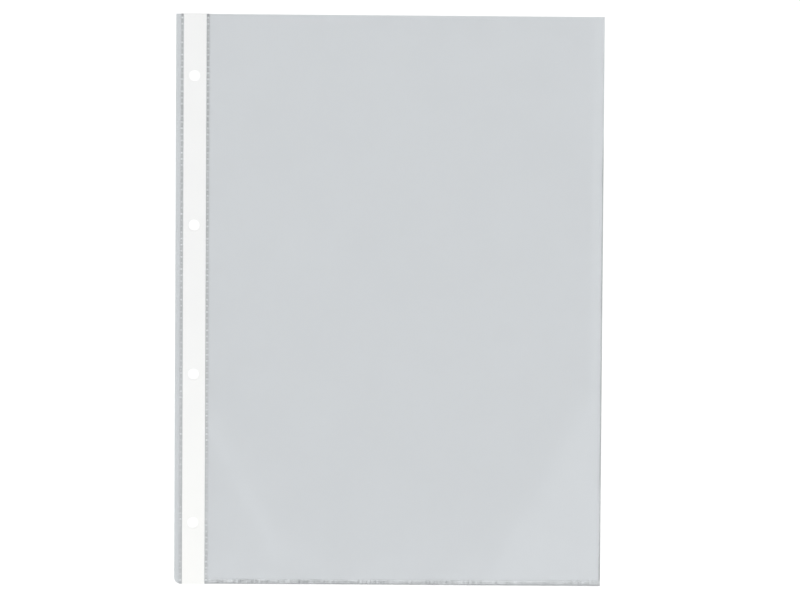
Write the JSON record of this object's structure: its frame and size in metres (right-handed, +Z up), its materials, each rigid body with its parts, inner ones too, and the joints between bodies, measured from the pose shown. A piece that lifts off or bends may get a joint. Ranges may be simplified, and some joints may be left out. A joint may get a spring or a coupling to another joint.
{
  "type": "sheet protector",
  "caption": "Clear film pocket for a page, sealed along the bottom and open at the top, with a white reinforced edge punched for ring binders.",
  "frame": {"origin": "middle of the underside of the flat sheet", "axes": "+X from the punched edge to the folded edge, +Y from the sealed bottom to the open mouth, +Z up through the front film"},
  "size_m": [0.2294, 0.306, 0.0004],
  "materials": {
    "film": "clear polypropylene film, smooth, faintly blue-grey",
    "weld": "fused clear film with pressed pits",
    "strip": "opaque white plastic strip, satin"
  },
  "bodies": {
    "binding_edge": {"outer_weld": "weld", "inner_weld": "weld", "back_binding_film": "film", "binding_strip": "strip", "front_binding_film": "film"},
    "pocket": {"bottom_weld": "weld", "fold_edge": "film", "back_film": "film"},
    "front_leaf": {"front_film": "film"}
  },
  "joints": [
    {"name": "page_turn", "type": "hinge", "parent": "binding_edge", "child": "pocket", "pos_m": [-0.09697, 0, 0.00022], "axis": [0, -1, 0], "range_deg": [0, 90]},
    {"name": "mouth_open", "type": "hinge", "parent": "pocket", "child": "front_leaf", "pos_m": [0, -0.1504, 0.00028], "axis": [1, 0, 0], "range_deg": [0, 5], "stiffness_Nm_per_rad": 0.05}
  ]
}
